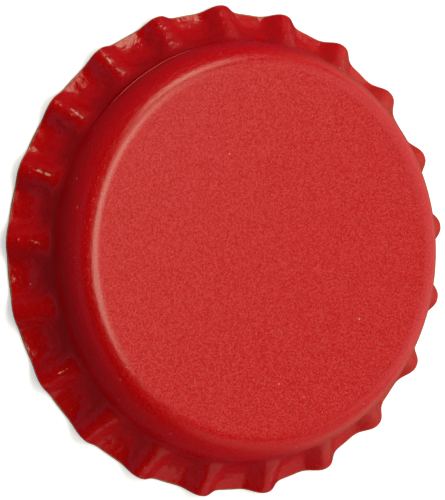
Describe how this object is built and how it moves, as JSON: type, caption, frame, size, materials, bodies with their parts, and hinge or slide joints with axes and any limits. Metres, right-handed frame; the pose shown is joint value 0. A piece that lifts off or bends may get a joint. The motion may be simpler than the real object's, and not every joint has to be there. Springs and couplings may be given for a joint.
{
  "type": "crown bottle cap",
  "caption": "Round pressed-metal crown cap with a flat panel, a rounded shoulder, a fluted flaring skirt and a moulded sealing liner inside.",
  "frame": {"origin": "on the cap's axis, in the plane that the rim of the skirt rests on", "axes": "+Z along the cap's axis, up out of the flat panel; +X through the crest of one tooth"},
  "size_m": [0.0319, 0.032, 0.006],
  "materials": {
    "painted_shell": "satin red paint on tinplate, with a fine speckled texture",
    "liner": "moulded soft polyethylene, off-white"
  },
  "bodies": {
    "root": {"crown_shell": "painted_shell", "liner": "liner"}
  },
  "joints": []
}
